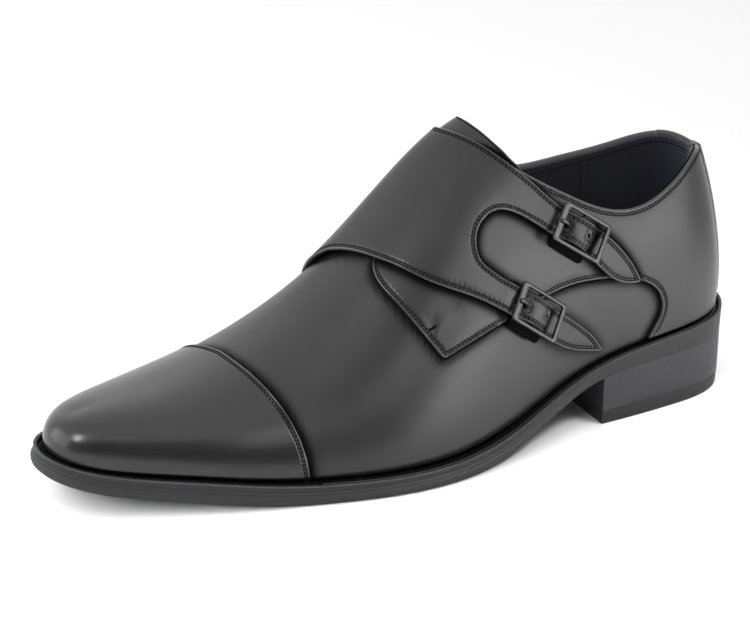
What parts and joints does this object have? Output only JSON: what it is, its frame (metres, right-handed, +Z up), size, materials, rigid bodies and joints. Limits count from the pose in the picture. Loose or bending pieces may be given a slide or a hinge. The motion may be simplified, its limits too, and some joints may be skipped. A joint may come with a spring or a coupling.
{
  "type": "cap-toe double monk strap shoe",
  "caption": "Man's dress shoe for the left foot, with a toe cap, an inner quarter that crosses the instep to buckled straps, and a low stacked heel.",
  "frame": {"origin": "on the ground, under the middle of the shoe's length and width", "axes": "+X from heel to toe, +Y to the outer side of the foot, +Z up"},
  "size_m": [0.3076, 0.109, 0.1258],
  "materials": {
    "leather": "smooth black calf, soft sheen",
    "cap_leather": "smooth black, more polished",
    "lining": "matt black",
    "sole_rubber": "matt dark grey",
    "heel_stack": "matt dark grey, fine stacked lines",
    "top_rubber": "matt near-black",
    "welt_gloss": "glossy black",
    "gunmetal": "dark brushed gunmetal"
  },
  "bodies": {
    "root": {"outsole": "sole_rubber", "welt_bead": "welt_gloss", "heel_block": "heel_stack", "top_piece": "top_rubber", "insole": "lining", "upper": "leather", "toe_cap": "cap_leather", "outer_quarter": "leather", "strap_flap": "leather", "tongue": "leather", "backstay": "leather", "upper_strap_tab": "lining", "upper_strap_buckle": "gunmetal", "upper_strap_prong": "gunmetal", "lower_strap_tab": "lining", "lower_strap_buckle": "gunmetal", "lower_strap_prong": "gunmetal"}
  },
  "joints": []
}
